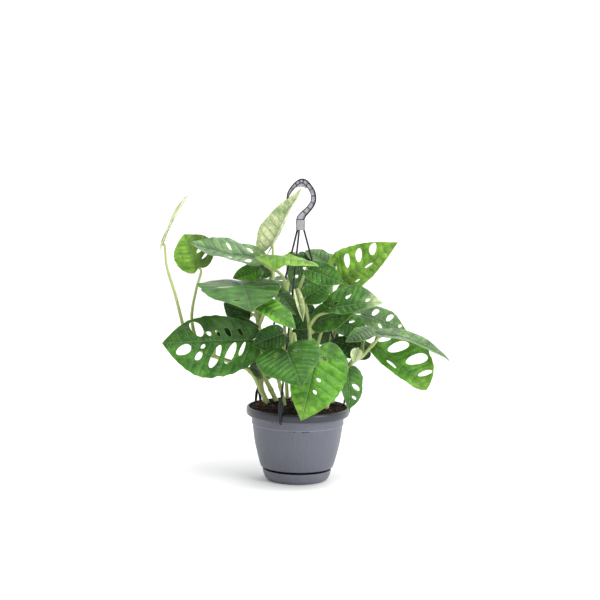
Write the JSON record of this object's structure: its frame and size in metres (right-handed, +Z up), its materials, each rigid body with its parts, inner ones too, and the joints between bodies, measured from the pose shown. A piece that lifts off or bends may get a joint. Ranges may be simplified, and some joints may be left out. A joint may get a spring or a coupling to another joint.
{
  "type": "potted monstera adansonii",
  "caption": "Climbing house plant with perforated leaves on stems in soil, in a hanging pot with a clip-on saucer and a three-strand hook hanger.",
  "frame": {"origin": "centre of the saucer's flat underside", "axes": "+Z up, -Y towards the front view, +X to the right of the front view"},
  "size_m": [0.4188, 0.2625, 0.4374],
  "materials": {
    "leaf_green": "satin leaf, mid green with paler veins",
    "leaf_fresh": "satin leaf, fresh yellow green",
    "leaf_pale": "matt underside of a young leaf, pale green",
    "leaf_grey_green": "leaf seen against the light, grey green sheen",
    "stem_green": "smooth fleshy stem, yellow green",
    "soil": "moist dark peat with bark chips",
    "pot_plastic": "moulded plastic, blue grey, satin",
    "hanger_plastic": "moulded plastic, mid grey, matt"
  },
  "bodies": {
    "root": {"hanger": "hanger_plastic", "leaf_back_left": "leaf_green", "leaf_back_low_left": "leaf_green", "leaf_back_low_right": "leaf_green", "leaf_back_right": "leaf_green", "leaf_back_side": "leaf_fresh", "leaf_back_small": "leaf_grey_green", "leaf_back_top": "leaf_green", "leaf_bluish": "leaf_green", "leaf_centre_right": "leaf_green", "leaf_far_left": "leaf_pale", "leaf_front_bright": "leaf_fresh", "leaf_front_heart": "leaf_green", "leaf_inner_back": "leaf_green", "leaf_inner_far_left": "leaf_green", "leaf_inner_high": "leaf_green", "leaf_inner_high_left": "leaf_green", "leaf_inner_left": "leaf_green", "leaf_inner_low_left": "leaf_green", "leaf_inner_low_right": "leaf_green", "leaf_inner_middle": "leaf_green", "leaf_inner_right": "leaf_green", "leaf_inner_top": "leaf_green", "leaf_inner_upper": "leaf_green", "leaf_left_broad": "leaf_green", "leaf_left_long": "leaf_green", "leaf_left_mask": "leaf_green", "leaf_left_shadow": "leaf_green", "leaf_left_upper": "leaf_fresh", "leaf_pale_curled": "leaf_fresh", "leaf_pale_tall": "leaf_pale", "leaf_right_back": "leaf_green", "leaf_right_droop": "leaf_green", "leaf_right_grey": "leaf_grey_green", "leaf_right_long": "leaf_grey_green", "leaf_right_mask": "leaf_green", "leaf_right_middle": "leaf_green", "leaf_right_upper": "leaf_fresh", "leaf_rolled_pale": "leaf_pale", "leaf_small_bright": "leaf_fresh", "leaf_under_long": "leaf_fresh", "leaf_young_right": "leaf_pale", "pot": "pot_plastic", "saucer": "pot_plastic", "soil": "soil", "vine_back_left": "stem_green", "vine_back_right": "stem_green", "vine_centre": "stem_green", "vine_front": "stem_green", "vine_front_left": "stem_green", "vine_front_right": "stem_green", "vine_left": "stem_green", "vine_left_middle": "stem_green", "vine_middle": "stem_green", "vine_right": "stem_green", "vine_right_middle": "stem_green", "vine_side_left": "stem_green", "vine_side_right": "stem_green"}
  },
  "joints": []
}
